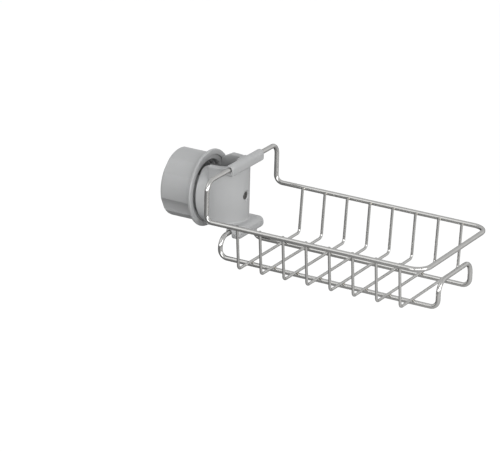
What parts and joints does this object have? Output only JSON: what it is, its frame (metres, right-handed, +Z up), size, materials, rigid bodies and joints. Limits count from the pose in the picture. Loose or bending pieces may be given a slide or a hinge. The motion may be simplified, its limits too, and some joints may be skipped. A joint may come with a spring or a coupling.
{
  "type": "sponge holder",
  "caption": "Wire basket for a sponge, hung on a screw clamp that grips an upright pipe; the knob screws the clamp shut and the basket slides sideways in it.",
  "frame": {"origin": "on the axis of the gripped pipe, at the height of the clamp screw's axis", "axes": "+X from the knob towards the far end of the basket, +Y to the back, +Z up along the pipe"},
  "size_m": [0.237, 0.1048, 0.0713],
  "materials": {
    "grey_plastic": "satin",
    "pad_plastic": "matte",
    "screw_steel": "satin",
    "liner_rubber": "matte",
    "polished_wire": "polished"
  },
  "bodies": {
    "clamp": {"clamp_jaw": "grey_plastic", "front_cover": "grey_plastic", "cover_screw": "screw_steel", "saddle_liner": "liner_rubber"},
    "pad": {"pressure_pad": "pad_plastic", "pad_liner": "liner_rubber"},
    "knob": {"clamp_knob": "grey_plastic"},
    "basket": {"rim_wire": "polished_wire", "runner_wire": "polished_wire", "rib_1": "polished_wire", "rib_2": "polished_wire", "rib_3": "polished_wire", "rib_4": "polished_wire", "rib_5": "polished_wire", "rib_6": "polished_wire", "rib_7": "polished_wire", "rib_8": "polished_wire"}
  },
  "joints": [
    {"name": "pad_feed", "type": "slide", "parent": "clamp", "child": "pad", "axis": [-1, 0, 0], "range_m": [0, 0.016]},
    {"name": "knob_turn", "type": "hinge", "parent": "pad", "child": "knob", "pos_m": [-0.03, 0, 0], "axis": [-1, 0, 0], "range_deg": [0, 1152]},
    {"name": "basket_slide", "type": "slide", "parent": "clamp", "child": "basket", "axis": [0, 1, 0], "range_m": [-0.015, 0.0224]}
  ],
  "couplings": [
    {"joint": "pad_feed", "follows": "knob_turn", "m_per_rad": 0.00079577}
  ]
}
